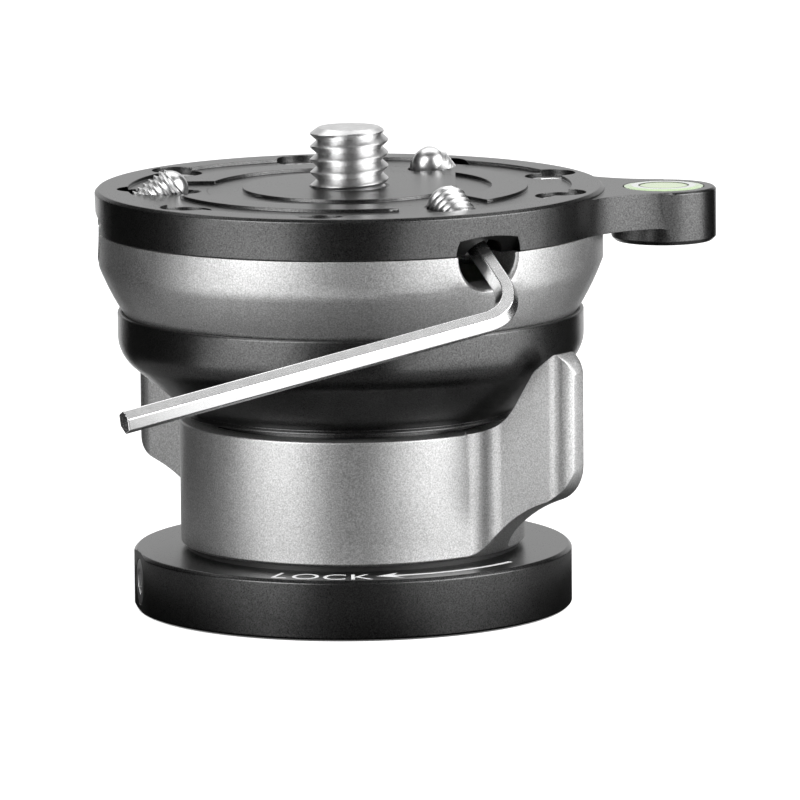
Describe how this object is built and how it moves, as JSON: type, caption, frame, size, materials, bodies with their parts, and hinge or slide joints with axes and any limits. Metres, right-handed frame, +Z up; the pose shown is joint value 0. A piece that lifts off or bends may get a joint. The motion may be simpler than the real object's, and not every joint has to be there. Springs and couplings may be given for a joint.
{
  "type": "leveling base",
  "caption": "Tripod leveling base: a half-ball platform tilts in a bowl, a winged ring under it locks the tilt, and a bubble level stands on an arm at its side.",
  "frame": {"origin": "on the vertical axis, at the underside of the base disc, in the mouth of the tripod thread", "axes": "+Z up along the camera stud; +X towards the bubble level, which stands 3 degrees off it; -Y faces the viewer of the picture"},
  "size_m": [0.0756, 0.0858, 0.0587],
  "materials": {
    "black_anodised": "satin black anodised, finely blasted",
    "silver_anodised": "silver anodised, bead blasted",
    "steel": "bright turned steel",
    "plated_steel": "bright plated",
    "liner_plastic": "smooth acetal",
    "washer_plastic": "black acetal",
    "vial_plastic": "pale acrylic",
    "vial_liquid": "yellow-green liquid",
    "vial_air": "air bubble",
    "vial_clear": "clear acrylic"
  },
  "bodies": {
    "base": {"base_disc": "black_anodised", "base_grub_screw": "steel", "centre_post": "silver_anodised", "anti_turn_pins": "steel", "thrust_washer": "washer_plastic", "clamp_stud": "steel", "clamp_cap": "steel", "spring_washer": "steel", "clamp_nut": "steel"},
    "lock_ring": {"lock_ring": "silver_anodised"},
    "bowl": {"bowl": "black_anodised"},
    "seat_ring": {"seat_liner": "liner_plastic"},
    "tilt_ring": {"ball_liner": "liner_plastic"},
    "platform": {"half_ball": "silver_anodised", "top_plate": "black_anodised", "plate_screws": "steel", "camera_stud": "steel", "vial_cup": "vial_plastic", "vial_fluid": "vial_liquid", "vial_bubble": "vial_air", "vial_lens": "vial_clear"},
    "left_screw": {"set_screw_left": "steel"},
    "back_screw": {"set_screw_back": "steel"},
    "front_screw": {"set_screw_front": "steel"},
    "key": {"hex_key": "plated_steel"}
  },
  "joints": [
    {"name": "lock_turn", "type": "hinge", "parent": "base", "child": "lock_ring", "pos_m": [0, 0, 0.0156], "axis": [0, 0, 1], "range_deg": [0, 60]},
    {"name": "bowl_lift", "type": "slide", "parent": "base", "child": "bowl", "axis": [0, 0, 1], "range_m": [-0.000333, 0]},
    {"name": "heading", "type": "hinge", "parent": "bowl", "child": "seat_ring", "pos_m": [0, 0, 0.05404], "axis": [0, 0, 1], "continuous": true},
    {"name": "tilt", "type": "hinge", "parent": "seat_ring", "child": "tilt_ring", "pos_m": [0, 0, 0.05404], "axis": [1, 0, 0], "range_deg": [-10, 10]},
    {"name": "spin", "type": "hinge", "parent": "tilt_ring", "child": "platform", "pos_m": [0, 0, 0.05404], "axis": [0, 0, 1], "continuous": true},
    {"name": "left_screw_in", "type": "slide", "parent": "platform", "child": "left_screw", "axis": [0.8079, 0.0423, 0.5878], "range_m": [-0.001, 0.0015]},
    {"name": "back_screw_in", "type": "slide", "parent": "platform", "child": "back_screw", "axis": [-0.3673, -0.7208, 0.5878], "range_m": [-0.001, 0.0015]},
    {"name": "front_screw_in", "type": "slide", "parent": "platform", "child": "front_screw", "axis": [-0.4406, 0.6785, 0.5878], "range_m": [-0.001, 0.0015]},
    {"name": "key_out", "type": "slide", "parent": "front_screw", "child": "key", "axis": [0.4406, -0.6785, -0.5878], "range_m": [0, 0.016]}
  ],
  "couplings": [
    {"joint": "lock_turn", "follows": "bowl_lift", "rad_per_m": -3141.6}
  ]
}
